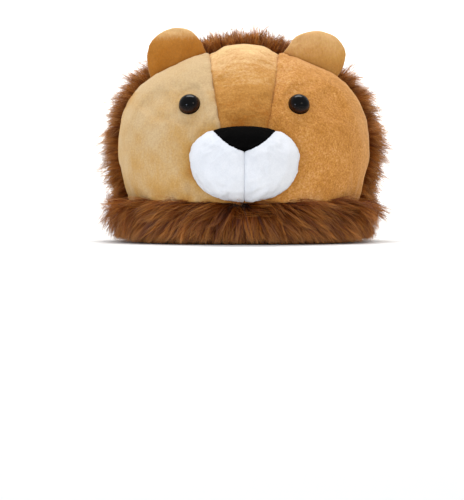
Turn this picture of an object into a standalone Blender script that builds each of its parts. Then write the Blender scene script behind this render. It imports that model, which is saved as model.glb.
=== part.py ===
# Plush lion costume hat. Metres, +Z up, the face looks along -Y, and -X is the left of the front view.
# The hat stands on its fur band. The origin is the middle of the head opening, on the table.

import math
import random

import bmesh
import bpy
from mathutils import Matrix, Vector

# Gap between pieces that are sewn together
CLEARANCE = 0.0003

# Head opening, and the hollow above the band
HEAD_WIDTH = 0.168
HEAD_LENGTH = 0.202
HOLLOW_RISE = 0.086

# Wadding between the head and the outside
SIDE_PADDING = 0.0295
BROW_PADDING = 0.021
NAPE_PADDING = 0.018
TOP_PADDING = 0.057

# Seam between face and mane: an upright plane ahead of the opening's middle
SEAM_SETBACK = 0.015
SEAM_TUCK = 0.005
PANEL_TUCK = 0.0025
MANE_STEP = 0.004

# Middle panel of the face, between the ears and behind the muzzle
MIDDLE_PANEL_TOP = 0.066
MIDDLE_PANEL_BASE = 0.020

# Fur band, which is the rim
BAND_HEIGHT = 0.036
BAND_INSET = 0.005
BAND_SIDES = 40

# Long fur, as locks on a knitted backing
FUR_BACKING = 0.002
MANE_LOCK_LENGTH = 0.026
BAND_LOCK_LENGTH = 0.023
LOCK_WAIST = 0.62
LOCK_BEND = 0.55
LOCK_SPREAD = 0.10
FLOOR_GAP = 0.0008

# How the fur lies, as shares of a lock's length. The mane drops in full from this share of the face's rise,
# and this far behind the seam.
MANE_SWEEP = 0.30
MANE_DROP = 0.45
MANE_DROP_START = 0.12
MANE_DROP_FULL = 0.42
MANE_DROP_DEPTH = 0.050
BAND_PARTING = 0.45
BAND_FOOT_DROP = 0.20
BAND_TOP_DROP = 0.75

# Muzzle pillow, with the nose let into its top
MUZZLE_WIDTH = 0.096
MUZZLE_HEIGHT = 0.0662
MUZZLE_PROUD = 0.030
MUZZLE_RIM = 0.003
MUZZLE_ABOVE_BAND = 0.0018
MUZZLE_GAP = 0.0005
NOSE_WIDTH = 0.056
NOSE_DROP = 0.0224
NOSE_SIDE_BULGE = 0.003
NOSE_CORNER_DROP = 0.003

# Plastic eyes on posts
EYE_DIAMETER = 0.0195
EYE_DOME = 0.0068
EYE_RIM = 0.0012
EYE_GAP = 0.0006
EYE_SPACING = 0.0965
EYE_ABOVE_BAND = 0.087
EYE_POST_DIAMETER = 0.005
EYE_POST_LENGTH = 0.009

# Ears, sewn along the top of the face
EAR_WIDTH = 0.056
EAR_HEIGHT = 0.0340
EAR_THICKNESS = 0.013
EAR_RIM = 0.003
EAR_ANGLE = math.radians(64.5)
EAR_ROOT = 0.010
EAR_PAD_CENTRE = 0.33

# Fineness of the faceted surfaces
ARCH_COLUMNS = 26
HOLLOW_COLUMNS = 18
FACE_STATIONS = 8
CROWN_STATIONS = 9
# Columns of the crown's grid that share one lock of fur, from the face seam to the nape
LOCK_COLUMNS = (1, 1, 1, 1, 1, 1, 2, 2, 2, 4)
HOLLOW_STATIONS = 6
MUZZLE_STEPS = 2
NOSE_SIDE_STEPS = 5
EYE_SIDES = 20
EYE_DOME_STEPS = 5
EYE_HOLE_SIDES = 12
EAR_STEPS = 14
TUCK_TURN = math.radians(5)
SLOPE_STEP = 0.002
SLOPE_TURN = 0.01
DOME_SQUARENESS = 2.3
FUR_SEED = 7

# Sizes that follow from those above
SEAM_Y = -SEAM_SETBACK
SHELL_BASE = BAND_HEIGHT + CLEARANCE
FACE_HALF_WIDTH = HEAD_WIDTH / 2 + SIDE_PADDING
FACE_RISE = HOLLOW_RISE + TOP_PADDING
FACE_DEPTH = HEAD_LENGTH / 2 - SEAM_SETBACK + BROW_PADDING
CROWN_DEPTH = HEAD_LENGTH / 2 + SEAM_SETBACK + NAPE_PADDING
FRONT_HOLLOW_DEPTH = HEAD_LENGTH / 2 - SEAM_SETBACK
BACK_HOLLOW_DEPTH = HEAD_LENGTH / 2 + SEAM_SETBACK
MUZZLE_CENTRE_Z = SHELL_BASE + MUZZLE_ABOVE_BAND + MUZZLE_HEIGHT / 2
EYE_Z = SHELL_BASE + EYE_ABOVE_BAND

# Edge of the face in the front view, right half, from the band up to the top.
# Columns: share of the face's half width, share of its rise above the band.
FACE_OUTLINE = (
    (0.930, 0.000),
    (0.950, 0.120),
    (0.984, 0.225),
    (1.000, 0.344),
    (0.990, 0.460),
    (0.948, 0.585),
    (0.878, 0.685),
    (0.775, 0.782),
    (0.535, 0.872),
    (0.306, 0.955),
    (0.000, 1.000),
)

# Edge of the muzzle in the front view, right half, from bottom to top.
# Columns: share of the muzzle's half width, share of its half height.
MUZZLE_OUTLINE = (
    (0.00, -1.00),
    (0.29, -0.96),
    (0.56, -0.86),
    (0.80, -0.63),
    (0.95, -0.29),
    (1.00, 0.08),
    (0.98, 0.40),
    (0.84, 0.67),
    (0.60, 0.87),
    (0.30, 0.97),
    (0.00, 1.00),
)

# Rings of the muzzle's back, as shares of its outline's reach
MUZZLE_BACK_RINGS = (0.28, 0.54, 0.78, 1.00)

# Side of the fur band from its foot to its top.
# Columns: share of the band's height, inset from its widest line as a share of BAND_INSET.
BAND_SECTION = (
    (0.00, 2.3),
    (0.12, 1.3),
    (0.42, 0.3),
    (0.71, 0.0),
    (1.00, 0.5),
)

# Rings of a stuffed pad, from the middle of one face to its rim.
# Columns: share of the outline's reach, share of the thickness above the rim's.
PAD_RINGS = (
    (0.42, 0.94),
    (0.75, 0.66),
    (0.93, 0.28),
)

# Ears. Columns: name, side of the hat, how far the tip leans out as a share of the ear's width.
EARS = (
    ("ear_left", -1, -0.04),
    ("ear_right", 1, 0.10),
)

# Colours as linear RGB, with roughness
MATERIALS = {
    "velour": ((0.56, 0.32, 0.10), 0.85),
    "fur": ((0.22, 0.10, 0.035), 0.70),
    "white_plush": ((0.78, 0.80, 0.83), 0.80),
    "black_plush": ((0.006, 0.006, 0.006), 0.90),
    "eye_plastic": ((0.018, 0.008, 0.004), 0.08),
}


def clear_scene():
    for obj in list(bpy.data.objects):
        bpy.data.objects.remove(obj)


def make_material(name):
    colour, roughness = MATERIALS[name]
    material = bpy.data.materials.new(name)
    material.use_nodes = True
    shader = material.node_tree.nodes["Principled BSDF"]
    shader.inputs["Base Color"].default_value = (*colour, 1)
    shader.inputs["Roughness"].default_value = roughness
    shader.inputs["Metallic"].default_value = 0
    return material


def add_object(name, bm, material, parent, place=None):
    """Turns a bmesh into a named object under the hat's empty."""
    bmesh.ops.recalc_face_normals(bm, faces=bm.faces)
    mesh = bpy.data.meshes.new(name)
    bm.to_mesh(mesh)
    bm.free()
    mesh.materials.append(material)
    mesh.shade_smooth()
    mesh.set_sharp_from_angle(angle=math.radians(40))
    obj = bpy.data.objects.new(name, mesh)
    bpy.context.scene.collection.objects.link(obj)
    obj.parent = parent
    if place is not None:
        obj.matrix_local = place
    return obj


def make_helper(obj):
    """Marks a cutter, which is not part of the hat."""
    obj.hide_render = True
    obj.display_type = "WIRE"
    return obj


def add_boolean(obj, operation, other):
    modifier = obj.modifiers.new(operation.lower(), "BOOLEAN")
    modifier.operation = operation
    modifier.object = other
    modifier.solver = "EXACT"


# Outlines

def curve_through(before, start, end, after, share):
    """Point on a Catmull-Rom curve between start and end."""
    return 0.5 * (
        2 * start
        + (end - before) * share
        + (2 * before - 5 * start + 4 * end - after) * share**2
        + (3 * start - before - 3 * end + after) * share**3
    )


def polar_rows(rows, half_width, rise):
    """Angle and radius of each row of a half outline, carried on past the top by its mirror image."""
    right = [(math.atan2(up * rise, across * half_width),
              math.hypot(across * half_width, up * rise)) for across, up in rows]
    return right + [(math.pi - angle, radius) for angle, radius in reversed(right[:-1])]


FACE_POLAR = polar_rows(FACE_OUTLINE, FACE_HALF_WIDTH, FACE_RISE)


def face_radius(angle):
    """Distance from the middle of the shell's base to the edge of the face, at an angle above +X."""
    last = len(FACE_POLAR) - 2
    row = max(i for i in range(last + 1) if FACE_POLAR[i][0] <= angle + 1e-9)
    start, end = FACE_POLAR[row], FACE_POLAR[row + 1]
    before, after = FACE_POLAR[max(row - 1, 0)], FACE_POLAR[min(row + 2, last + 1)]
    share = (angle - start[0]) / (end[0] - start[0])
    return curve_through(before[1], start[1], end[1], after[1], share)


def crown_radius(angle):
    return face_radius(angle) - MANE_STEP


def hollow_radius(angle):
    """The same for the hollow, whose arch is a squarish half ellipse."""
    across = abs(math.cos(angle)) / (HEAD_WIDTH / 2)
    up = abs(math.sin(angle)) / HOLLOW_RISE
    return (across**DOME_SQUARENESS + up**DOME_SQUARENESS) ** (-1 / DOME_SQUARENESS)


def plan_point(half_width, front, back, angle, z):
    """Point of a level outline round the head. The angle runs from +X by way of the back."""
    power = 2 / DOME_SQUARENESS
    cosine, sine = math.cos(angle), math.sin(angle)
    x = math.copysign(abs(cosine) ** power, cosine) * half_width
    reach = back if sine > 0 else front
    return Vector((x, SEAM_Y + math.copysign(abs(sine) ** power, sine) * reach, z))


def face_y(x, z):
    """Y of the face's surface at a point of the front view."""
    rise = max(z - SHELL_BASE, 0)
    shrink = min(1, math.hypot(x, rise) / face_radius(math.atan2(rise, x)))
    return SEAM_Y - FACE_DEPTH * (1 - shrink**DOME_SQUARENESS) ** (1 / DOME_SQUARENESS)


def face_normal(x, z):
    slope_x = (face_y(x + SLOPE_STEP, z) - face_y(x - SLOPE_STEP, z)) / (2 * SLOPE_STEP)
    slope_z = (face_y(x, z + SLOPE_STEP) - face_y(x, z - SLOPE_STEP)) / (2 * SLOPE_STEP)
    return Vector((slope_x, -1, slope_z)).normalized()


# Padded shell

def dome_arches(bm, radius_at, reach, columns, turns, tuck, seam_y):
    """Arches of vertices from the seam plane to a pole at the base, and that pole."""
    power = 2 / DOME_SQUARENESS
    arches = []
    for turn in turns:
        shrink, along = math.cos(turn) ** power, math.sin(turn) ** power
        inward = tuck if turn == 0 else 0
        arch = []
        for column in range(columns + 1):
            angle = math.pi * column / columns
            radius = (radius_at(angle) - inward) * shrink
            x, z = radius * math.cos(angle), radius * math.sin(angle)
            arch.append(bm.verts.new((x, seam_y + reach * along, SHELL_BASE + max(z, 0))))
        arches.append(arch)
    pole = bm.verts.new((0, seam_y + reach, SHELL_BASE))
    return arches, pole


def skin_over(bm, arches, pole):
    """Faces between neighbouring arches, and the fan round the pole."""
    faces = []
    for near, far in zip(arches, arches[1:]):
        for i in range(len(near) - 1):
            faces.append(bm.faces.new((near[i], near[i + 1], far[i + 1], far[i])))
    fan = [bm.faces.new((a, b, pole)) for a, b in zip(arches[-1], arches[-1][1:])]
    return faces, fan


def base_line(arches, pole):
    """The base edge of a dome, from its right end through the pole to its left end."""
    right = [arch[0] for arch in arches]
    return right + [pole] + [arch[-1] for arch in reversed(arches)]


def even_turns(stations, tucked):
    """Angles from the seam plane towards the pole. A tucked dome has a narrow first step."""
    start = TUCK_TURN if tucked else 0
    steps = [start + (math.pi / 2 - start) * i / stations for i in range(stations)]
    return [0, *steps] if tucked else steps


def padded_half(radius_at, reach, hollow_reach, stations, grow=0.0):
    """Half of the padded shell. A negative reach is the face, a positive one the crown."""
    bm = bmesh.new()
    layer = bm.faces.layers.int.new("outside")
    side = math.copysign(1, reach)
    seam_y = SEAM_Y + side * (CLEARANCE / 2 - grow)
    skin, skin_pole = dome_arches(
        bm, lambda angle: radius_at(angle) + grow, reach + side * 2 * grow,
        ARCH_COLUMNS, even_turns(stations, True), SEAM_TUCK, seam_y)
    hollow, hollow_pole = dome_arches(
        bm, hollow_radius, hollow_reach, HOLLOW_COLUMNS,
        even_turns(HOLLOW_STATIONS, False), 0, seam_y)
    outer_faces = sum(skin_over(bm, skin, skin_pole), [])
    skin_over(bm, hollow, hollow_pole)
    bm.faces.new(base_line(skin, skin_pole) + base_line(hollow, hollow_pole)[::-1])
    bm.faces.new(skin[0] + hollow[0][::-1])
    for face in outer_faces:
        face[layer] = 1
    return bm


def cut_panel(bm, point, normal):
    """Cuts away what lies beyond a seam plane, closes the cut and tucks its outer edge in."""
    layer = bm.faces.layers.int["outside"]
    geometry = bm.verts[:] + bm.edges[:] + bm.faces[:]
    cut = bmesh.ops.bisect_plane(
        bm, geom=geometry, dist=1e-6, plane_co=point, plane_no=normal, clear_outer=True)
    edges = [e for e in cut["geom_cut"] if isinstance(e, bmesh.types.BMEdge)]
    verts = [v for v in cut["geom_cut"] if isinstance(v, bmesh.types.BMVert)]
    outer = [v for v in verts if any(f[layer] for f in v.link_faces)]
    bmesh.ops.contextual_create(bm, geom=edges)
    seam_front = SEAM_Y - 2 * CLEARANCE
    for vert in outer:
        if vert.co.y > seam_front:
            continue
        inward = Vector((0, SEAM_Y - vert.co.y, SHELL_BASE - vert.co.z))
        if vert.co.z < SHELL_BASE + CLEARANCE:
            inward.z = 0
        inward -= inward.dot(normal) * normal
        if vert.co.z < SHELL_BASE + CLEARANCE:
            inward = Vector((0, 1, 0))
        vert.co += inward.normalized() * PANEL_TUCK


def panel_seam(side):
    """Point and outward normal of the seam plane at one side of the middle panel."""
    lean = (MIDDLE_PANEL_TOP - MIDDLE_PANEL_BASE) / 2 / FACE_RISE
    normal = Vector((side, 0, -lean)).normalized()
    return Vector((side * MIDDLE_PANEL_BASE / 2, 0, SHELL_BASE)), normal


def make_face_panels(materials, parent, eye_holes):
    half_gap = CLEARANCE / 2
    middle = padded_half(face_radius, -FACE_DEPTH, -FRONT_HOLLOW_DEPTH, FACE_STATIONS)
    for side in (-1, 1):
        point, normal = panel_seam(side)
        cut_panel(middle, point - normal * half_gap, normal)
    add_object("face_middle", middle, materials["velour"], parent)
    for name, side in (("face_left", -1), ("face_right", 1)):
        panel = padded_half(face_radius, -FACE_DEPTH, -FRONT_HOLLOW_DEPTH, FACE_STATIONS)
        point, normal = panel_seam(side)
        cut_panel(panel, point + normal * half_gap, -normal)
        obj = add_object(name, panel, materials["velour"], parent)
        add_boolean(obj, "DIFFERENCE", eye_holes[side])


def make_crown(materials, parent):
    crown = padded_half(crown_radius, CROWN_DEPTH - MANE_STEP, BACK_HOLLOW_DEPTH, CROWN_STATIONS)
    add_object("crown", crown, materials["velour"], parent)


# Fur

def grow_locks(bm, faces, length, lean_at, chance):
    """Turns each face of a backing into one tapered, bent lock of fur."""
    for face in bmesh.ops.extrude_discrete_faces(bm, faces=faces)["faces"]:
        face.normal_update()
        middle = face.calc_center_median()
        reach = length * (1 + chance.uniform(-1, 1) * LOCK_SPREAD)
        out = face.normal * reach
        lean = lean_at(middle, face.normal) * reach
        corners = list(face.verts)
        bm.faces.remove(face)
        for vert in corners:
            vert.co = middle + (vert.co - middle) * LOCK_WAIST + out * LOCK_BEND + lean * LOCK_BEND**2
            vert.co.z = max(vert.co.z, FLOOR_GAP)
        point = middle + out + lean
        tip = bm.verts.new((point.x, point.y, max(point.z, FLOOR_GAP)))
        for a, b in zip(corners, corners[1:] + corners[:1]):
            bm.faces.new((a, b, tip))


def mane_lean(middle, normal):
    """The mane lies back from the face, and down towards the nape."""
    height = (middle.z - SHELL_BASE) / FACE_RISE
    high = (height - MANE_DROP_START) / (MANE_DROP_FULL - MANE_DROP_START)
    behind = (middle.y - SEAM_Y) / MANE_DROP_DEPTH
    drop = MANE_DROP * min(1, max(0, high)) * min(1, max(0, behind))
    return Vector((0, MANE_SWEEP, -drop))


def band_lean(middle, normal):
    """The band's fur hangs down, and parts in front of the muzzle."""
    sideways = math.sin(2 * math.atan2(middle.x, -middle.y)) if middle.y < 0 else 0
    tangent = Vector((-normal.y, normal.x, 0))
    drop = BAND_FOOT_DROP + (BAND_TOP_DROP - BAND_FOOT_DROP) * middle.z / BAND_HEIGHT
    return tangent * (BAND_PARTING * sideways) + Vector((0, 0, -drop))


def make_mane(materials, parent):
    """Fur fabric over the whole crown: a thin backing that grows locks."""
    bm = bmesh.new()
    seam_y = SEAM_Y + CLEARANCE / 2
    turns = even_turns(CROWN_STATIONS, True)
    reach = CROWN_DEPTH - MANE_STEP
    arches, pole = dome_arches(bm, crown_radius, reach, ARCH_COLUMNS, turns, SEAM_TUCK, seam_y)
    skin_over(bm, arches, pole)
    bmesh.ops.recalc_face_normals(bm, faces=bm.faces)
    rows = arches + [[pole]]
    bases = [[(vert.co.copy(), surface_normal(vert, seam_y)) for vert in row] for row in rows]
    bm.clear()
    layers = []
    for offset in (CLEARANCE, CLEARANCE + FUR_BACKING):
        grid = [[bm.verts.new(co + normal * offset) for co, normal in row] for row in bases]
        layers.append((grid[:-1], grid[-1][0]))
    (under, under_pole), (over, over_pole) = layers
    skin_over(bm, under, under_pole)
    lock_faces = thin_out(bm, sum(skin_over(bm, over, over_pole), []))
    close_rim(bm, base_line(under, under_pole) + under[0][1:-1][::-1],
              base_line(over, over_pole) + over[0][1:-1][::-1])
    bmesh.ops.recalc_face_normals(bm, faces=bm.faces)
    grow_locks(bm, lock_faces, MANE_LOCK_LENGTH, mane_lean, random.Random(FUR_SEED))
    add_object("mane", bm, materials["fur"], parent)


def thin_out(bm, faces):
    """Merges the narrow faces near the pole, so that every lock has about one size."""
    merged = []
    for station, together in enumerate(LOCK_COLUMNS):
        row = faces[station * ARCH_COLUMNS:(station + 1) * ARCH_COLUMNS]
        for i in range(0, ARCH_COLUMNS, together):
            group = row[i:i + together]
            merged.append(group[0] if len(group) == 1 else bmesh.utils.face_join(group))
    return merged


def surface_normal(vert, seam_y):
    """Outward normal of a dome vertex, kept level on the base and square to Y on the seam."""
    normal = vert.normal.copy()
    if normal.dot(vert.co - Vector((0, SEAM_Y, SHELL_BASE))) < 0:
        normal.negate()
    if abs(vert.co.y - seam_y) < 1e-6:
        normal.y = 0
    if abs(vert.co.z - SHELL_BASE) < 1e-6:
        normal.z = 0
    return normal.normalized()


def close_rim(bm, inner, outer):
    """Joins two matching closed rims with a strip of faces."""
    for i in range(len(inner)):
        j = (i + 1) % len(inner)
        bm.faces.new((inner[i], inner[j], outer[j], outer[i]))


def make_band(materials, parent):
    """Padded rim of the hat with its long fur: it carries the shell and stands on the table."""
    bm = bmesh.new()
    half_width = FACE_HALF_WIDTH - BAND_INSET
    front, back = FACE_DEPTH - BAND_INSET, CROWN_DEPTH - BAND_INSET
    rings = []
    for height, inset in BAND_SECTION:
        less = inset * BAND_INSET
        rings.append(plan_ring(bm, half_width - less, front - less, back - less, height * BAND_HEIGHT))
    for height in (1, 0):
        rings.append(plan_ring(bm, HEAD_WIDTH / 2, FRONT_HOLLOW_DEPTH, BACK_HOLLOW_DEPTH,
                               height * BAND_HEIGHT))
    strips = []
    for ring, following in zip(rings, rings[1:] + rings[:1]):
        strips.append(ring_strip(bm, ring, following))
    bmesh.ops.recalc_face_normals(bm, faces=bm.faces)
    lock_faces = sum(strips[1:len(BAND_SECTION) - 1], [])
    grow_locks(bm, lock_faces, BAND_LOCK_LENGTH, band_lean, random.Random(FUR_SEED + 1))
    add_object("fur_band", bm, materials["fur"], parent)


def plan_ring(bm, half_width, front, back, z):
    turns = [2 * math.pi * i / BAND_SIDES for i in range(BAND_SIDES)]
    return [bm.verts.new(plan_point(half_width, front, back, turn, z)) for turn in turns]


def ring_strip(bm, lower, upper):
    count = len(lower)
    return [bm.faces.new((lower[i], lower[(i + 1) % count], upper[(i + 1) % count], upper[i]))
            for i in range(count)]


# Muzzle and nose

def closed_outline(rows, half_width, half_height, steps):
    """Points of a mirrored outline, with a few steps of a smooth curve between its rows."""
    right = [Vector((across * half_width, up * half_height)) for across, up in rows]
    loop = right + [Vector((-p.x, p.y)) for p in reversed(right[1:-1])]
    count = len(loop)
    points = []
    for i in range(count):
        four = [loop[(i + k) % count] for k in (-1, 0, 1, 2)]
        points += [curve_through(*four, step / steps) for step in range(steps)]
    return points


def loft_rings(bm, rings, start, end):
    """Closed skin over rings of vertices, with a point at each end."""
    for ring, following in zip(rings, rings[1:]):
        ring_strip(bm, ring, following)
    for point, ring in ((start, rings[0]), (end, rings[-1])):
        for a, b in zip(ring, ring[1:] + ring[:1]):
            bm.faces.new((a, b, point))


def muzzle_bmesh():
    """Stuffed pillow that follows the face behind and bulges forward."""
    bm = bmesh.new()
    outline = closed_outline(MUZZLE_OUTLINE, MUZZLE_WIDTH / 2, MUZZLE_HEIGHT / 2, MUZZLE_STEPS)

    def ring_at(reach, forward):
        ring = []
        for point in outline:
            x, z = point.x * reach, MUZZLE_CENTRE_Z + point.y * reach
            ring.append(bm.verts.new((x, face_y(x, z) - MUZZLE_GAP - forward, z)))
        return ring

    centre_y = face_y(0, MUZZLE_CENTRE_Z) - MUZZLE_GAP
    behind = [ring_at(reach, 0) for reach in MUZZLE_BACK_RINGS]
    ahead = [ring_at(reach, MUZZLE_RIM + (MUZZLE_PROUD - MUZZLE_RIM) * swell)
             for reach, swell in reversed(PAD_RINGS)]
    rim = ring_at(1.0, MUZZLE_RIM)
    back_point = bm.verts.new((0, centre_y, MUZZLE_CENTRE_Z))
    front_point = bm.verts.new((0, centre_y - MUZZLE_PROUD, MUZZLE_CENTRE_Z))
    loft_rings(bm, behind + [rim] + ahead, back_point, front_point)
    return bm


def nose_cutter(name, grow, material, parent):
    """Upright prism with the nose's outline: a V with bulging sides, open above the muzzle."""
    top = MUZZLE_CENTRE_Z + MUZZLE_HEIGHT / 2
    corner = Vector((NOSE_WIDTH / 2, top - NOSE_CORNER_DROP))
    tip = Vector((0, top - NOSE_DROP))
    side = (corner - tip).normalized()
    outward = Vector((side.y, -side.x))
    right = []
    for i in range(NOSE_SIDE_STEPS + 1):
        share = i / NOSE_SIDE_STEPS
        bulge = 4 * share * (1 - share) * NOSE_SIDE_BULGE + grow
        right.append(tip.lerp(corner, share) + outward * bulge)
    right[0] = tip - Vector((0, grow / outward.x))
    right.append(right[-1] + Vector((MUZZLE_RIM, 2 * MUZZLE_RIM + NOSE_CORNER_DROP)))
    outline = right + [Vector((-p.x, p.y)) for p in reversed(right[1:])]
    near, far = SEAM_Y - FACE_DEPTH / 4, SEAM_Y - FACE_DEPTH - 2 * MUZZLE_PROUD
    bm = bmesh.new()
    rings = [[bm.verts.new((p.x, y, p.y)) for p in outline] for y in (near, far)]
    ring_strip(bm, *rings)
    for ring in rings:
        bm.faces.new(ring)
    return make_helper(add_object(name, bm, material, parent))


def make_muzzle(materials, parent):
    nose_shape = nose_cutter("nose_shape", 0, materials["black_plush"], parent)
    nose_socket = nose_cutter("nose_socket", CLEARANCE, materials["black_plush"], parent)
    for name, side in (("muzzle_left", -1), ("muzzle_right", 1)):
        bm = muzzle_bmesh()
        cut = bmesh.ops.bisect_plane(
            bm, geom=bm.verts[:] + bm.edges[:] + bm.faces[:], dist=1e-6,
            plane_co=(side * CLEARANCE / 2, 0, 0), plane_no=(-side, 0, 0), clear_outer=True)
        edges = [e for e in cut["geom_cut"] if isinstance(e, bmesh.types.BMEdge)]
        bmesh.ops.contextual_create(bm, geom=edges)
        half = add_object(name, bm, materials["white_plush"], parent)
        add_boolean(half, "DIFFERENCE", nose_socket)
    nose = add_object("nose", muzzle_bmesh(), materials["black_plush"], parent)
    add_boolean(nose, "INTERSECT", nose_shape)


# Eyes

def eye_place(side):
    """Where an eye sits: its own Z axis stands out of the face."""
    x = side * EYE_SPACING / 2
    normal = face_normal(x, EYE_Z)
    seat = Vector((x, face_y(x, EYE_Z), EYE_Z)) + normal * EYE_GAP
    return Matrix.Translation(seat) @ normal.to_track_quat("Z", "Y").to_matrix().to_4x4()


def turned_bmesh(profile, sides):
    """Solid of revolution about Z from a profile of radius and height that starts and ends on the axis."""
    bm = bmesh.new()
    verts = [bm.verts.new((radius, 0, height)) for radius, height in profile]
    edges = [bm.edges.new(pair) for pair in zip(verts, verts[1:])]
    bmesh.ops.spin(bm, geom=verts + edges, cent=(0, 0, 0), axis=(0, 0, 1), dvec=(0, 0, 0),
                   angle=2 * math.pi, steps=sides, use_merge=True)
    bmesh.ops.remove_doubles(bm, verts=bm.verts, dist=1e-6)
    return bm


def make_eyes(materials, parent):
    """Domed plastic eyes. Returns the cutters for the holes that their posts pass into."""
    holes = {}
    radius = EYE_DIAMETER / 2
    post = EYE_POST_DIAMETER / 2
    profile = [(0, -EYE_POST_LENGTH), (post, -EYE_POST_LENGTH), (post, 0), (radius, 0)]
    for i in range(EYE_DOME_STEPS):
        turn = math.pi / 2 * i / EYE_DOME_STEPS
        profile.append((radius * math.cos(turn), EYE_RIM + EYE_DOME * math.sin(turn)))
    profile.append((0, EYE_RIM + EYE_DOME))
    for name, side in (("eye_left", -1), ("eye_right", 1)):
        place = eye_place(side)
        add_object(name, turned_bmesh(profile, EYE_SIDES), materials["eye_plastic"], parent, place)
        depth = EYE_POST_LENGTH + 2 * CLEARANCE
        bore = post + CLEARANCE
        hole = turned_bmesh([(0, -depth), (bore, -depth), (bore, depth), (0, depth)], EYE_HOLE_SIDES)
        holes[side] = make_helper(
            add_object(f"hole_{name}", hole, materials["eye_plastic"], parent, place))
    return holes


# Ears

def ear_outline(lean):
    """Ear outline in its own plane, from the outer root over the tip to the inner root."""
    half = EAR_WIDTH / 2
    power = 2 / DOME_SQUARENESS
    points = [Vector((half, -EAR_ROOT)), Vector((half, -EAR_ROOT / 2))]
    for i in range(EAR_STEPS + 1):
        turn = math.pi * i / EAR_STEPS
        across = math.copysign(abs(math.cos(turn)) ** power, math.cos(turn))
        up = math.sin(turn) ** power
        points.append(Vector((half * across + lean * EAR_WIDTH * up, EAR_HEIGHT * up)))
    points += [Vector((-half, -EAR_ROOT / 2)), Vector((-half, -EAR_ROOT)), Vector((0, -EAR_ROOT))]
    return points


def make_ears(materials, parent):
    seat = padded_half(face_radius, -FACE_DEPTH, -FRONT_HOLLOW_DEPTH, FACE_STATIONS, grow=CLEARANCE)
    seat_cutter = make_helper(add_object("ear_seat", seat, materials["velour"], parent))
    middle = Vector((0, EAR_HEIGHT * EAR_PAD_CENTRE))
    for name, side, lean in EARS:
        bm = bmesh.new()
        outline = ear_outline(lean)

        def ring_at(reach, y):
            return [bm.verts.new((side * (middle + (p - middle) * reach).x, y,
                                  (middle + (p - middle) * reach).y)) for p in outline]

        rings = []
        for face_side in (-1, 1):
            pad = [ring_at(reach, face_side * half_thickness(swell)) for reach, swell in PAD_RINGS]
            pad.append(ring_at(1.0, face_side * EAR_RIM / 2))
            rings += pad if face_side < 0 else pad[::-1]
        front = bm.verts.new((side * middle.x, -EAR_THICKNESS / 2, middle.y))
        back = bm.verts.new((side * middle.x, EAR_THICKNESS / 2, middle.y))
        loft_rings(bm, rings, front, back)
        ear = add_object(name, bm, materials["velour"], parent, ear_place(side))
        add_boolean(ear, "DIFFERENCE", seat_cutter)


def half_thickness(swell):
    return (EAR_RIM + (EAR_THICKNESS - EAR_RIM) * swell) / 2


def ear_place(side):
    """Where an ear stands: on the face's top edge, just ahead of the mane."""
    radius = face_radius(EAR_ANGLE)
    ahead, behind = EAR_ANGLE - SLOPE_TURN, EAR_ANGLE + SLOPE_TURN
    run = Vector((face_radius(ahead) * math.cos(ahead) - face_radius(behind) * math.cos(behind),
                  face_radius(ahead) * math.sin(ahead) - face_radius(behind) * math.sin(behind)))
    tilt = math.atan2(run.y, run.x)
    y = SEAM_Y - 2 * CLEARANCE - EAR_THICKNESS / 2
    spot = Vector((side * radius * math.cos(EAR_ANGLE), y, SHELL_BASE + radius * math.sin(EAR_ANGLE)))
    return Matrix.Translation(spot) @ Matrix.Rotation(-side * tilt, 4, "Y")


def main():
    clear_scene()
    materials = {name: make_material(name) for name in MATERIALS}
    hat = bpy.data.objects.new("lion_hat", None)
    bpy.context.scene.collection.objects.link(hat)
    eye_holes = make_eyes(materials, hat)
    make_face_panels(materials, hat, eye_holes)
    make_crown(materials, hat)
    make_mane(materials, hat)
    make_band(materials, hat)
    make_muzzle(materials, hat)
    make_ears(materials, hat)


main()
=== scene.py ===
import math

import bmesh
import bpy
import numpy as np
from mathutils import Matrix, Vector
from mathutils.bvhtree import BVHTree


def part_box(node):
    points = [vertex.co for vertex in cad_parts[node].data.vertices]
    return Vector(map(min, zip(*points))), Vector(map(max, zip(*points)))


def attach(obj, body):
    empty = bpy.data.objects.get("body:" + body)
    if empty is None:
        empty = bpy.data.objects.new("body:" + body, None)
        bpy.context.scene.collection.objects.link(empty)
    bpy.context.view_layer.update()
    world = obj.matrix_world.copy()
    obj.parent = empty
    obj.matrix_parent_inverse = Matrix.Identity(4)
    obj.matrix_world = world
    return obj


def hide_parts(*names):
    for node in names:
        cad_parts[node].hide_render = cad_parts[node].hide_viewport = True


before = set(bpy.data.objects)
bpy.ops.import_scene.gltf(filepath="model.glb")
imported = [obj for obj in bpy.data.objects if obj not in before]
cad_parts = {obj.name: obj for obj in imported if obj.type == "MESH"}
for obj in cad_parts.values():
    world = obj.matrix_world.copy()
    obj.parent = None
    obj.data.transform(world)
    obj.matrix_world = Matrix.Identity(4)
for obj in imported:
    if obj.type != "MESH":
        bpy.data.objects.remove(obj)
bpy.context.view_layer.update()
scene = bpy.context.scene
mm = 0.001

# The seam between face and mane, and the level where the padded shell stands on the band
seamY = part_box("crown")[0][1]
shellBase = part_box("crown")[0][2]
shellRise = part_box("face_middle")[1][2] - shellBase
shellCentre = np.array((0.0, seamY, shellBase))


# Small helpers


def linear(text):  # sRGB hex, such as b98a4e, as linear RGBA
    parts = [int(text[i : i + 2], 16) / 255 for i in (0, 2, 4)]
    return tuple(c / 12.92 if c <= 0.04045 else ((c + 0.055) / 1.055) ** 2.4 for c in parts) + (1.0,)


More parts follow.
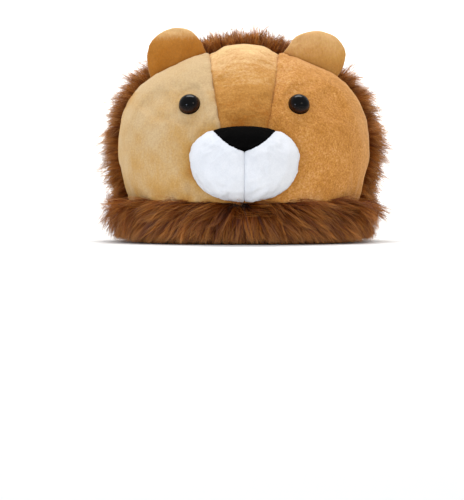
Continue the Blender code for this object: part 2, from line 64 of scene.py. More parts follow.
def addNode(tree, kind, inputs=None, stops=None, output=0, **settings):
    # An input is a fixed value or another node's socket. Stops are a ramp's places and colours.
    node = tree.nodes.new("ShaderNode" + kind)
    for key, value in settings.items():
        setattr(node, key, value)
    for key, value in (inputs or {}).items():
        if isinstance(value, bpy.types.NodeSocket):
            tree.links.new(value, node.inputs[key])
        else:
            node.inputs[key].default_value = value
    if stops:
        elements = node.color_ramp.elements
        while len(elements) < len(stops):
            elements.new(0.5)
        for element, (place, colour) in zip(elements, stops):
            element.position = place
            element.color = linear(colour)
    return node.outputs[output] if node.outputs else node


def newMaterial(name):
    material = bpy.data.materials.new(name)
    material.use_nodes = True
    material.node_tree.nodes.clear()
    return material, material.node_tree


def newObject(name, data):
    obj = bpy.data.objects.new(name, data)
    scene.collection.objects.link(obj)
    return obj


def addPiece(name, mesh, material, node=None):  # rides with the hat, in place of a CAD node if named
    mesh.materials.append(material)
    obj = newObject(name, mesh)
    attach(obj, "root")
    if node is not None:
        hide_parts(node)
    return obj


def meshFrom(bm, name):
    bmesh.ops.recalc_face_normals(bm, faces=bm.faces)
    mesh = bpy.data.meshes.new(name)
    bm.to_mesh(mesh)
    bm.free()
    mesh.shade_smooth()
    return mesh


def meshArrays(mesh):
    points = np.empty(len(mesh.vertices) * 3)
    mesh.vertices.foreach_get("co", points)
    normals = np.empty(len(mesh.vertices) * 3)
    mesh.vertex_normals.foreach_get("vector", normals)
    return points.reshape(-1, 3), normals.reshape(-1, 3)


def setPoints(mesh, points):
    mesh.vertices.foreach_set("co", np.ascontiguousarray(points, np.float32).ravel())
    mesh.update()


def addAttribute(mesh, name, values):
    mesh.attributes.new(name, "FLOAT", "POINT").data.foreach_set("value", np.asarray(values, np.float32))


def unit(vectors):
    return vectors / np.maximum(np.linalg.norm(vectors, axis=-1, keepdims=True), 1e-12)


def smoothStep(low, high, values):
    share = np.clip((values - low) / (high - low), 0, 1)
    return share * share * (3 - 2 * share)


def softWaves(points, sizeMm, seed):  # smooth, uneven values from about -1 to 1
    rng = np.random.default_rng(seed)
    total = np.zeros(len(points))
    for i in range(9):
        direction = unit(rng.normal(size=3)) * 2 * math.pi / (sizeMm * mm * rng.uniform(0.7, 1.6))
        total += np.sin(points @ direction + rng.uniform(0, 2 * math.pi))
    return total / 3


def gapTo(points, others):  # how far each point is from the nearest of some CAD pieces, up to 40 mm
    found = np.full(len(points), 40 * mm)
    for name in others:
        bm = bmesh.new()
        bm.from_mesh(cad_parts[name].data)
        tree = BVHTree.FromBMesh(bm)
        bm.free()
        for i, point in enumerate(points):
            gap = tree.find_nearest(Vector(point), found[i])[3]
            if gap is not None:
                found[i] = gap
    return found


# Camera, light and floor

view = {
    "mmPerPixel": 0.90,  # in the plane of the face
    "hatCentrePixel": (244, 243),  # middle of the rim
    "frameCentrePixel": (232, 250),
    "framePixels": 500,
    "planeY": -60,  # mm, as are the next row and the sensor
    "distance": 2200,
    "elevation": 2,  # degrees
    "sensor": 36,
}
hatAim = (0, 0, 0.1)
wallAim = (0, 3.0, 0.5)
lamps = [
    {"name": "left", "place": (-1.20, -1.95, 0.52), "aim": hatAim, "size": 0.30, "power": 10, "colour": "dde9ff"},
    {"name": "right", "place": (1.15, -1.90, 1.10), "aim": hatAim, "size": 0.26, "power": 5, "colour": "fff2e2"},
    {"name": "backdrop", "place": (0, 0.7, 2.6), "aim": wallAim, "size": 2.0, "power": 90, "colour": "ffffff"},
]
studio = {"world": "fbfcff", "strength": 0.84}
sweep = {"front": -4.0, "bend": 1.6, "radius": 1.4, "halfWidth": 5.0, "height": 5.0, "steps": 24}


def makeCamera():
    across = view["frameCentrePixel"][0] - view["hatCentrePixel"][0]
    up = view["hatCentrePixel"][1] - view["frameCentrePixel"][1]
    pixel = view["mmPerPixel"] * mm
    aim = Vector((across * pixel, view["planeY"] * mm, up * pixel))
    rise = math.radians(view["elevation"])
    away = Vector((0, -math.cos(rise), math.sin(rise)))
    camera = newObject("camera", bpy.data.cameras.new("camera"))
    camera.location = aim + away * view["distance"] * mm
    camera.rotation_mode = "QUATERNION"
    camera.rotation_quaternion = (-away).to_track_quat("-Z", "Y")
    camera.data.sensor_width = view["sensor"]
    camera.data.lens = view["sensor"] * view["distance"] * mm / (view["framePixels"] * pixel)
    scene.camera = camera
    scene.view_settings.view_transform = "Standard"


def makeLight():
    world = bpy.data.worlds.new("studio")
    scene.world = world
    world.use_nodes = True
    background = world.node_tree.nodes["Background"]
    background.inputs["Color"].default_value = linear(studio["world"])
    background.inputs["Strength"].default_value = studio["strength"]
    for row in lamps:
        lamp = bpy.data.lights.new(row["name"], "AREA")
        lamp.shape = "DISK"
        lamp.size = row["size"]
        lamp.energy = row["power"]
        lamp.color = linear(row["colour"])[:3]
        obj = newObject(row["name"], lamp)
        obj.location = row["place"]
        obj.rotation_mode = "QUATERNION"
        obj.rotation_quaternion = (Vector(row["aim"]) - Vector(row["place"])).to_track_quat("-Z", "Y")


def makeFloor():  # a pale floor that curves up behind the hat
    profile = [(sweep["front"], 0.0)]
    for i in range(sweep["steps"] + 1):
        turn = math.pi / 2 * i / sweep["steps"]
        along, up = math.sin(turn), 1 - math.cos(turn)
        profile.append((sweep["bend"] + sweep["radius"] * along, sweep["radius"] * up))
    profile.append((sweep["bend"] + sweep["radius"], sweep["height"]))
    bm = bmesh.new()
    verts = [bm.verts.new((sweep["halfWidth"], y, z)) for y, z in profile]
    edges = [bm.edges.new(pair) for pair in zip(verts, verts[1:])]
    made = bmesh.ops.extrude_edge_only(bm, edges=edges)["geom"]
    far = [item for item in made if isinstance(item, bmesh.types.BMVert)]
    bmesh.ops.translate(bm, verts=far, vec=(-2 * sweep["halfWidth"], 0, 0))
    mesh = meshFrom(bm, "floor")
    material, tree = newMaterial("matt white studio paper")
    shader = addNode(tree, "BsdfPrincipled", {"Base Color": linear("f7f7f5"), "Roughness": 0.9})
    addNode(tree, "OutputMaterial", {"Surface": shader})
    mesh.materials.append(material)
    newObject("floor", mesh)


makeCamera()
makeLight()
makeFloor()
print("camera, light and floor")


# Cloths


def velour(name, values):
    # Crushed polyester velour: the pile leans in patches, so one dye shows pale sand and deep orange. The glints
    # of the pile ends are painted highlights, with darker specks, in the colour. The real pile is finer than a
    # pixel, so its grain is drawn at 1.5 to 6 mm.
    material, tree = newMaterial(name)
    places = addNode(tree, "TexCoord", output="Object")
    warmth = addNode(tree, "Attribute", output="Fac", attribute_name="warm")
    for row in values["layers"]:
        scaled = addNode(tree, "Mapping", {"Vector": places, "Scale": row["stretch"]})
        noise = addNode(
            tree,
            "TexNoise",
            {"Vector": scaled, "Scale": 1 / (row["sizeMm"] * mm), "Detail": row["detail"], "Roughness": 0.6},
        )
        centred = addNode(tree, "Math", {0: noise, 1: 0.5}, operation="SUBTRACT")
        inputs = {0: centred, 1: row["gain"], 2: warmth}
        warmth = addNode(tree, "Math", inputs, operation="MULTIPLY_ADD")
    stops = [(0.0, values["pale"]), (0.45, values["middle"]), (1.0, values["deep"])]
    colour = addNode(tree, "ValToRGB", {"Fac": warmth}, stops)
    # Painted highlights: the pile's glints, as light and dark specks overlaid on the colour.
    glints = addNode(
        tree, "TexNoise", {"Vector": places, "Scale": 1 / (values["glintMm"] * mm), "Detail": 2, "Roughness": 0.75}
    )
    glints = addNode(tree, "ValToRGB", {"Fac": glints}, [(0.36, values["glintDark"]), (0.66, values["glintLight"])])
    inputs = {"Factor": values["glint"], 6: colour, 7: glints}
    colour = addNode(tree, "Mix", inputs, output=2, data_type="RGBA", blend_type="OVERLAY")
    # Painted shade: the seams and the edges against the muzzle are darkened towards a shade colour.
    seamShade = addNode(tree, "Attribute", output="Fac", attribute_name="seamShade")
    seamShade = addNode(tree, "Math", {0: seamShade, 1: values["seamShadeShare"]}, operation="MULTIPLY")
    inputs = {"Factor": seamShade, 6: colour, 7: linear(values["seamShadeColour"])}
    colour = addNode(tree, "Mix", inputs, output=2, data_type="RGBA")
    pile = addNode(tree, "TexNoise", {"Vector": places, "Scale": 1 / (1.1 * mm), "Detail": 2})
    nap = addNode(tree, "TexNoise", {"Vector": places, "Scale": 1 / (5.0 * mm), "Detail": 2})
    height = addNode(tree, "Math", {0: nap, 1: 0.8, 2: pile}, operation="MULTIPLY_ADD")
    normal = addNode(tree, "Bump", {"Height": height, "Strength": values["bump"], "Distance": 0.5 * mm})
    shader = addNode(
        tree,
        "BsdfPrincipled",
        {
            "Base Color": colour,
            "Roughness": 0.85,
            "Specular IOR Level": 0.2,
            "Sheen Weight": values["sheen"],
            "Sheen Roughness": 0.4,
            "Sheen Tint": linear(values["sheenTint"]),
            "Normal": normal,
        },
    )
    addNode(tree, "OutputMaterial", {"Surface": shader})
    return material


def wovenLining(name, thread, gap):  # plain polycotton weave: small even dimples, with no shine
    material, tree = newMaterial(name)
    places = addNode(tree, "TexCoord", output="Object")
    weave = addNode(tree, "TexVoronoi", {"Vector": places, "Scale": 1 / (0.9 * mm)}, output="Distance")
    colour = addNode(tree, "ValToRGB", {"Fac": weave}, [(0.1, thread), (0.9, gap)])
    normal = addNode(tree, "Bump", {"Height": weave, "Strength": 0.4, "Distance": 0.3 * mm})
    shader = addNode(tree, "BsdfPrincipled", {"Base Color": colour, "Roughness": 0.8, "Normal": normal})
    addNode(tree, "OutputMaterial", {"Surface": shader})
    return material


def shortPlush(name, values):  # short knitted plush: matt, with a fine nap and pale edges
    material, tree = newMaterial(name)
    places = addNode(tree, "TexCoord", output="Object")
    fibres = addNode(tree, "TexNoise", {"Vector": places, "Scale": 1 / (1.1 * mm), "Detail": 3})
    nap = addNode(tree, "TexNoise", {"Vector": places, "Scale": 1 / (9 * mm), "Detail": 2})
    mixed = addNode(tree, "Math", {0: fibres, 1: nap}, operation="ADD")
    mixed = addNode(tree, "Math", {0: mixed, 1: 0.5}, operation="MULTIPLY")
    colour = addNode(tree, "ValToRGB", {"Fac": mixed}, [(0.35, values["dark"]), (0.65, values["light"])])
    # Painted shade: the seams against neighbouring pieces are darkened towards a shade colour.
    seamShade = addNode(tree, "Attribute", output="Fac", attribute_name="seamShade")
    seamShade = addNode(tree, "Math", {0: seamShade, 1: values["seamShadeShare"]}, operation="MULTIPLY")
    inputs = {"Factor": seamShade, 6: colour, 7: linear(values["seamShadeColour"])}
    colour = addNode(tree, "Mix", inputs, output=2, data_type="RGBA")
    normal = addNode(tree, "Bump", {"Height": fibres, "Strength": values["bump"], "Distance": 0.4 * mm})
    shader = addNode(
        tree,
        "BsdfPrincipled",
        {
            "Base Color": colour,
            "Roughness": values["roughness"],
            "Specular IOR Level": values["specular"],
            "Sheen Weight": values["sheen"],
            "Sheen Roughness": 0.35,
            "Normal": normal,
        },
    )
    addNode(tree, "OutputMaterial", {"Surface": shader})
    return material


liningCloth = wovenLining("brown polycotton lining", "6b4526", "3b2414")
furBacking = wovenLining("knitted fur backing", "3a2010", "1f1108")


# Wadding and cloth


def softCopy(node, voxelMm, rounds):  # a CAD piece's shape as an even, softly rounded mesh
    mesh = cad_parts[node].data.copy()
    mesh.materials.clear()
    bm = bmesh.new()
    bm.from_mesh(mesh)
    bmesh.ops.remove_doubles(bm, verts=bm.verts, dist=1e-5)
    bm.to_mesh(mesh)
    bm.free()
    scratch = newObject("scratch", mesh)
    remesh = scratch.modifiers.new("remesh", "REMESH")
    remesh.mode = "VOXEL"
    remesh.voxel_size = voxelMm * mm
    smooth = scratch.modifiers.new("smooth", "SMOOTH")
    smooth.factor = 0.5
    smooth.iterations = rounds
    made = bpy.data.meshes.new_from_object(scratch.evaluated_get(bpy.context.evaluated_depsgraph_get()))
    bpy.data.objects.remove(scratch)
    made.shade_smooth()
    return made


def fillPiece(mesh, held, values):
    # Pressure swells the cloth between the seams that hold it, and the spare cloth wrinkles beside them.
    before, _ = meshArrays(mesh)
    scratch = newObject("filling", mesh)
    group = scratch.vertex_groups.new(name="held")
    for i, weight in enumerate(held):
        group.add([i], float(weight), "REPLACE")
    cloth = scratch.modifiers.new("cloth", "CLOTH")
    cloth.settings.vertex_group_mass = "held"
    cloth.settings.pin_stiffness = 5
    cloth.settings.quality = 5
    cloth.settings.mass = 0.15
    cloth.settings.tension_stiffness = values["stiff"]
    cloth.settings.compression_stiffness = values["stiff"]
    cloth.settings.shear_stiffness = values["stiff"] / 3
    cloth.settings.bending_stiffness = values["bending"]
    cloth.settings.use_pressure = True
    cloth.settings.uniform_pressure_force = values["pressure"]
    cloth.settings.shrink_min = -values["spare"]
    cloth.settings.effector_weights.gravity = 0
    cloth.collision_settings.use_collision = False
    cloth.point_cache.frame_end = values["frames"]
    for step in range(1, values["frames"] + 1):
        scene.frame_set(step)
    settled = scratch.evaluated_get(bpy.context.evaluated_depsgraph_get()).to_mesh()
    after, _ = meshArrays(settled)
    moved = after - before
    far = np.linalg.norm(moved, axis=1, keepdims=True)
    cap = values["capMm"] * mm
    moved *= np.where(far > 0, cap * np.tanh(far / cap) / np.maximum(far, 1e-9), 0)
    scratch.modifiers.clear()
    bpy.data.objects.remove(scratch)
    scene.frame_set(1)
    setPoints(mesh, before + moved * (1 - np.asarray(held))[:, None])
    print("filled", mesh.name, f"{far.max() / mm:.1f} mm")


def pressFolds(points, normals, front, folds):
    # Each fold is a line in the front view, in millimetres from the middle of the rim.
    total = np.zeros(len(points))
    for row in folds:
        start, end = np.array(row["start"]) * mm, np.array(row["end"]) * mm
        along = end - start
        offset = points[:, [0, 2]] - start
        share = np.clip(offset @ along / (along @ along), 0, 1)
        gap = np.linalg.norm(offset - share[:, None] * along, axis=1) / (row["widthMm"] * mm)
        fade = np.sin(np.pi * np.clip(0.12 + 0.76 * share, 0, 1))
        total += row["depthMm"] * mm * fade * (0.45 * np.exp(-((gap - 1.9) ** 2)) - np.exp(-(gap**2)))
    return points + normals * (total * front)[:, None]


# Face panels

panelCloth = {
    "voxelMm": 2.2,
    "smoothing": 6,
    "swellMm": 0.8,
    "seamFillMm": 1.5,
    "seamFillReach": 2.6,
    "gatherMm": 0.30,
    "slackMm": 0.45,
    "stiff": 12,
    "bending": 0.15,
    "pressure": 2.5,
    "spare": 0.03,
    "frames": 16,
    "capMm": 2.6,  # the most that the simulation moves a point
    "swellFromMm": 2,
    "swellToMm": 16,
    "gatherReachMm": 7,
    "heldMm": 1.2,
    "looseMm": 5,
    "footReachMm": 6,
    "muzzleReachMm": 7,
    "seamShadeMm": 0.8,
    "edgeTop": 0.7,
    # painted highlights of the pile: their strength, size and colours
    "glint": 0.5,
    "glintMm": 1.5,
    "glintDark": "5c5c5c",
    "glintLight": "b0b0b0",
    # painted shade in the seams: its colour and share
    "seamShadeColour": "7a4a1c",
    "seamShadeShare": 0.5,
    "bump": 0.45,
    "sheen": 0.22,
    "sheenTint": "ffe6bc",
    "folds": [],
}
panels = {
    "face_left": {
        "pale": "cbb184",
        "middle": "c49a58",
        "deep": "b4742a",
        "glint": 0.28,
        "base": 0.02,
        "warmEdge": 0.85,
        "edgeReach": 28,
        "warmFoot": 0.55,
        "warmMuzzle": 0.35,
        "warmLow": 0.10,
        "lowFrom": 0.1,
        "lowTo": 0.6,
        "layers": [
            {"sizeMm": 45, "stretch": (1, 1, 1), "detail": 3, "gain": 0.5},
            {"sizeMm": 5, "stretch": (2.2, 1, 0.5), "detail": 3, "gain": 0.35},
            {"sizeMm": 1.8, "stretch": (1, 1, 1), "detail": 2, "gain": 0.3},
        ],
        "folds": [{"start": (-48, 54), "end": (-47, 38), "widthMm": 2.4, "depthMm": 1.3}],
    },
    "face_middle": {
        "pale": "e2c68d",
        "middle": "c9944a",
        "deep": "b06c22",
        "glint": 0.4,
        "base": 0.12,
        "warmEdge": 0.0,
        "edgeReach": 10,
        "warmFoot": 0.0,
        "warmMuzzle": 0.3,
        "warmLow": 0.62,
        "lowFrom": 0.55,
        "lowTo": 0.98,
        "layers": [
            {"sizeMm": 30, "stretch": (0.5, 1, 1.4), "detail": 4, "gain": 1.1},
            {"sizeMm": 6, "stretch": (0.16, 1, 1.3), "detail": 3, "gain": 0.55},
            {"sizeMm": 2.0, "stretch": (0.7, 1, 1), "detail": 2, "gain": 0.6},
        ],
    },
    "face_right": {
        "pale": "ddb676",
        "middle": "cd9549",
        "deep": "b87528",
        "glint": 0.5,
        "base": 0.42,
        "warmEdge": 0.35,
        "edgeReach": 24,
        "warmFoot": -0.2,
        "warmMuzzle": 0.2,
        "warmLow": 0.12,
        "lowFrom": 0.6,
        "lowTo": 0.95,
        "layers": [
            {"sizeMm": 36, "stretch": (1, 1, 0.8), "detail": 4, "gain": 1.3},
            {"sizeMm": 3.2, "stretch": (1, 1, 1), "detail": 3, "gain": 0.9},
            {"sizeMm": 1.6, "stretch": (1, 1, 1), "detail": 2, "gain": 0.7},
        ],
    },
}


def splitLining(mesh):  # faces towards the head take the lining
    mesh.materials.append(liningCloth)
    slots = np.zeros(len(mesh.polygons), np.int32)
    for i, face in enumerate(mesh.polygons):
        outward = Vector(face.center) - Vector(shellCentre)
        if face.normal.dot(outward) < -0.2 * outward.length or face.normal.z < -0.8:
            slots[i] = 1
    mesh.polygons.foreach_set("material_index", slots)


def makePanel(name, values):
    mesh = softCopy(name, values["voxelMm"], values["smoothing"])
    points, normals = meshArrays(mesh)
    outer = np.einsum("ij,ij->i", normals, points - shellCentre) > 0
    toSeam = gapTo(points, [other for other in panels if other != name])
    toEdge = gapTo(points, ["crown"])
    toMuzzle = gapTo(points, ["muzzle_left", "muzzle_right", "nose"])
    toEye = gapTo(points, ["eye_left", "eye_right"])
    toFoot = np.maximum(points[:, 2] - shellBase, 0)
    free = np.minimum.reduce([toSeam, toEdge, toMuzzle, toEye, toFoot])
    swell = values["swellMm"] * smoothStep(values["swellFromMm"] * mm, values["swellToMm"] * mm, free)
    seamFill = values["seamFillMm"] * np.exp(-toSeam / (values["seamFillReach"] * mm))
    swell += seamFill * smoothStep(0, 3 * mm, toMuzzle)
    gathers = values["gatherMm"] * softWaves(points * (1, 0.4, 1), 9, 3)
    swell += gathers * np.exp(-free / (values["gatherReachMm"] * mm)) * (toMuzzle > mm)
    swell += values["slackMm"] * softWaves(points, 45, 5) * smoothStep(2 * mm, 10 * mm, free)
    setPoints(mesh, points + normals * (swell * mm * outer)[:, None])
    loose = smoothStep(values["heldMm"] * mm, values["looseMm"] * mm, free)
    fillPiece(mesh, np.where(outer, 1 - loose, 1), values)
    points, normals = meshArrays(mesh)
    setPoints(mesh, pressFolds(points, normals, outer, values["folds"]))
    height = (points[:, 2] - shellBase) / shellRise
    uneven = np.clip(1 + 0.7 * softWaves(points, 20, 7), 0, 2)
    warm = values["base"] + values["warmLow"] * (1 - smoothStep(values["lowFrom"], values["lowTo"], height))
    edgeWarmth = values["warmEdge"] * np.exp(-((toEdge / (values["edgeReach"] * mm)) ** 2))
    warm += edgeWarmth * uneven * (height < values["edgeTop"])
    warm += values["warmFoot"] * np.exp(-toFoot / (values["footReachMm"] * mm)) * uneven
    warm += values["warmMuzzle"] * np.exp(-toMuzzle / (values["muzzleReachMm"] * mm)) * uneven
    addAttribute(mesh, "warm", warm)
    # Painted shade along the seams with the other panels and the muzzle.
    addAttribute(mesh, "seamShade", np.exp(-np.minimum(toSeam, toMuzzle) / (values["seamShadeMm"] * mm)) * outer)
    obj = addPiece(f"{name}_velour", mesh, velour(f"velour of {name}", values), name)
    splitLining(mesh)


for panelName, panelValues in panels.items():
    makePanel(panelName, {**panelCloth, **panelValues})
print("face panels")

crownMesh = softCopy("crown", 3.5, 4)
crownPiece = addPiece("crown_padding", crownMesh, furBacking, "crown")
splitLining(crownMesh)
print("crown")


# Muzzle and nose

whitePlush = shortPlush(
    "white short plush",
    {
        "dark": "d2d5da",
        "light": "dddfe3",
        # painted shade in the muzzle's seams, a blue-grey
        "seamShadeColour": "a9b0bd",
        "seamShadeShare": 0.4,
        "bump": 0.2,
        "roughness": 0.8,
        "specular": 0.2,
        "sheen": 0.15,
    },
)
blackVelvet = shortPlush(
    "black velvet",
    {
        "dark": "020202",
        "light": "050404",
        "seamShadeColour": "010101",
        "seamShadeShare": 0.5,
        "bump": 0.5,
        "roughness": 1.0,
        "specular": 0.04,
        "sheen": 0.0,
    },
)
muzzleCloth = {
    "voxelMm": 1.6,
    "smoothing": 6,
    "swellMm": 0.8,
    "gatherMm": 0.45,
    "stiff": 10,
    "bending": 0.1,
    "pressure": 3,
    "spare": 0.04,
    "frames": 16,
    "capMm": 2.2,
    "swellFromMm": 1,
    "swellToMm": 12,
    "seamFillMm": 1.0,
    "seamFillReach": 2.2,
    "gatherReachMm": 5,
    "heldMm": 0.8,
    "looseMm": 4,
    "seamShadeMm": 0.8,
    "folds": [],
}
muzzle = {
    "muzzle_left": {"beside": ["muzzle_right", "nose"], "on": ["face_left", "face_middle"]},
    "muzzle_right": {
        "beside": ["muzzle_left", "nose"],
        "on": ["face_right", "face_middle"],
        "folds": [
            {"start": (4, 43), "end": (20, 51), "widthMm": 1.9, "depthMm": 1.1},
            {"start": (3, 46), "end": (9, 57), "widthMm": 1.5, "depthMm": 0.6},
        ],
    },
    "nose": {
        "beside": ["muzzle_left", "muzzle_right"],
        "on": ["face_middle"],
        "voxelMm": 1.2,
        "gatherMm": 0.1,
        "spare": 0.01,
    },
}


def makeMuzzlePiece(name, values, material):
    mesh = softCopy(name, values["voxelMm"], values["smoothing"])
    points, normals = meshArrays(mesh)
    toBeside = gapTo(points, values["beside"])
    toFace = gapTo(points, values["on"])
    front = (normals[:, 1] < 0.3) * smoothStep(0.3 * mm, 2 * mm, toFace)
    free = np.minimum(toBeside, toFace)
    swell = values["swellMm"] * smoothStep(values["swellFromMm"] * mm, values["swellToMm"] * mm, free)
    swell += values["seamFillMm"] * np.exp(-toBeside / (values["seamFillReach"] * mm))
    swell += values["gatherMm"] * softWaves(points, 7, 11) * np.exp(-toFace / (values["gatherReachMm"] * mm))
    setPoints(mesh, points + normals * (swell * mm * front)[:, None])
    loose = smoothStep(values["heldMm"] * mm, values["looseMm"] * mm, free)
    fillPiece(mesh, np.where(front > 0, 1 - loose, 1), values)
    points, normals = meshArrays(mesh)
    setPoints(mesh, pressFolds(points, normals, front, values["folds"]))
    # Painted shade along the seams with the neighbouring pieces.
    addAttribute(mesh, "seamShade", np.exp(-toBeside / (values["seamShadeMm"] * mm)) * front)
    addPiece(f"{name}_plush", mesh, material, name)


for muzzleName, muzzleValues in muzzle.items():
    isNose = muzzleName == "nose"
    makeMuzzlePiece(
        muzzleName,
        {**muzzleCloth, **muzzleValues},
        blackVelvet if isNose else whitePlush,
    )
print("muzzle and nose")


# Ears

earCloth = {
    "voxelMm": 1.6,
    "smoothing": 5,
    "capMm": 1.8,
    "pressure": 1.5,
    "spare": 0.02,
    "frames": 12,
    "sheen": 0.35,
    "base": 0.0,
    "slackMm": 0.35,
    "heldMm": 1,
    "seamShadeMm": 1.6,
    "rimSheen": 0.35,
    "rollForwardMm": 4.5,
    "rollAsideMm": 2.5,
    "layers": [
        {"sizeMm": 24, "stretch": (1, 1, 1), "detail": 3, "gain": 0.7},
        {"sizeMm": 2.4, "stretch": (1.4, 1, 0.8), "detail": 3, "gain": 0.5},
        {"sizeMm": 1.5, "stretch": (1, 1, 1), "detail": 2, "gain": 0.4},
    ],
}
ears = {
    "ear_left": {
        "pale": "d8b67c",
        "middle": "bf7f34",
        "deep": "ae6b1a",
        "glint": 0.3,
        "low": 0.8,
        "fadeFrom": 0.55,
        "foldSide": 0,
    },
    "ear_right": {
        "pale": "dcb87c",
        "middle": "c8984f",
        "deep": "b37430",
        "glint": 0.35,
        "low": 0.75,
        "fadeFrom": 0.1,
        "foldSide": -1,
    },
}


def makeEar(name, values):
    mesh = softCopy(name, values["voxelMm"], values["smoothing"])
    points, normals = meshArrays(mesh)
    low, high = (np.array(corner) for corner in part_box(name))
    toFace = gapTo(points, ["face_left", "face_middle", "face_right"])
    swell = values["slackMm"] * mm * softWaves(points, 14, 17) * smoothStep(0, 4 * mm, toFace)
    setPoints(mesh, points + normals * swell[:, None])
    flat = np.abs(normals[:, 1])
    loose = smoothStep(values["heldMm"] * mm, values["looseMm"] * mm, toFace)
    fillPiece(mesh, 1 - loose * smoothStep(0.2, 0.8, flat), values)
    points, normals = meshArrays(mesh)
    height = (points[:, 2] - low[2]) / (high[2] - low[2])
    # The right ear's inner edge is rolled forwards.
    across = (points[:, 0] - low[0]) / (high[0] - low[0])
    edge = smoothStep(0.62, 1.0, 1 - across) * smoothStep(0.25, 0.7, height) * abs(values["foldSide"])
    points[:, 1] -= values["rollForwardMm"] * mm * edge**1.5
    points[:, 0] -= values["foldSide"] * values["rollAsideMm"] * mm * edge**2
    setPoints(mesh, points)
    warm = values["base"] + values["low"] * (1 - smoothStep(values["fadeFrom"], 1.0, height))
    # Painted sheen: where the ear's surface turns edge-on, its colour is paled.
    warm -= values["rimSheen"] * smoothStep(0.55, 0.05, flat)
    addAttribute(mesh, "warm", warm)
    # Painted shade where the ear meets the face.
    addAttribute(mesh, "seamShade", np.exp(-toFace / (values["seamShadeMm"] * mm)))
    obj = addPiece(f"{name}_velour", mesh, velour(f"velour of {name}", values), name)


for earName, earValues in ears.items():
    makeEar(earName, {**panelCloth, **earCloth, **earValues})
print("ears")


# Eyes

eye = {"domeSteps": 22, "turns": 56, "rimMm": 1.2, "postRadiusMm": 2.3, "domeShare": 0.965, "pupil": 0.66}


def eyePlastic():
    # Injection-moulded eye: clear hard gloss over a black pupil, with a thin dark brown ring round it.
    material, tree = newMaterial("glossy moulded eye plastic")
    reach = addNode(tree, "Attribute", output="Fac", attribute_name="reach")
    places = addNode(tree, "TexCoord", output="Object")
    flecks = addNode(tree, "TexNoise", {"Vector": places, "Scale": 1 / (1.2 * mm), "Detail": 3})
    reach = addNode(tree, "Math", {0: flecks, 1: 0.06, 2: reach}, operation="MULTIPLY_ADD")
    stops = [(eye["pupil"], "020203"), (0.84, "180b05"), (0.95, "331a0c"), (1.0, "120803")]
    colour = addNode(tree, "ValToRGB", {"Fac": reach}, stops)
    shader = addNode(
        tree, "BsdfPrincipled", {"Base Color": colour, "Roughness": 0.07, "Specular IOR Level": 0.12}
    )
    addNode(tree, "OutputMaterial", {"Surface": shader})
    return material


def eyeSeat(name):  # the CAD eye's seat, outward axis, radius, height and post length
    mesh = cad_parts[name].data
    back = Vector()
    for face in mesh.polygons:
        if face.normal.y > 0.5:
            back += face.normal * face.area
    axis = -back.normalized()
    points, _ = meshArrays(mesh)
    level = points @ np.array(axis)
    radial = points - np.outer(level, np.array(axis))
    centre = (radial.max(axis=0) + radial.min(axis=0)) / 2
    radius = np.linalg.norm(radial - centre, axis=1)
    seat = level[radius > 0.97 * radius.max()].min()
    return Vector(centre) + axis * float(seat), axis, radius.max(), level.max() - seat, seat - level.min()


def makeEye(name, material):
    seat, axis, radius, height, post = eyeSeat(name)
    rim, stem = eye["rimMm"] * mm, eye["postRadiusMm"] * mm
    profile = [(0, -post), (stem, -post), (stem, 0)]
    profile += [(0.96 * radius, 0), (radius, 0.35 * rim), (0.995 * radius, 0.8 * rim)]
    for i in range(eye["domeSteps"]):
        turn = math.pi / 2 * i / eye["domeSteps"]
        profile.append((eye["domeShare"] * radius * math.cos(turn), rim + (height - rim) * math.sin(turn)))
    profile.append((0, height))
    bm = bmesh.new()
    verts = [bm.verts.new((r, 0, h)) for r, h in profile]
    edges = [bm.edges.new(pair) for pair in zip(verts, verts[1:])]
    bmesh.ops.spin(
        bm,
        geom=verts + edges,
        cent=(0, 0, 0),
        axis=(0, 0, 1),
        dvec=(0, 0, 0),
        angle=2 * math.pi,
        steps=eye["turns"],
        use_merge=True,
    )
    bmesh.ops.remove_doubles(bm, verts=bm.verts, dist=1e-6)
    mesh = meshFrom(bm, name)
    points, _ = meshArrays(mesh)
    addAttribute(mesh, "reach", np.hypot(points[:, 0], points[:, 1]) / radius)
    mesh.transform(Matrix.Translation(seat) @ axis.to_track_quat("Z", "Y").to_matrix().to_4x4())
    addPiece(f"{name}_dome", mesh, material, name)


hardPlastic = eyePlastic()
for eyeName in ("eye_left", "eye_right"):
    makeEye(eyeName, hardPlastic)
print("eyes")


# Long fur

furLook = {
    # Root-to-tip colours: the fibre's dye, with painted shade at the roots and painted light in the tips.
    "stops": [(0.0, "83490f"), (0.28, "b36a20"), (0.6, "d99a4c"), (1.0, "f2d3a4")],
    "light": "fff2de",
    "dark": "8f6a4a",
    "roughness": 0.42,
    "specular": 0.45,
    "glow": 0.35,
}


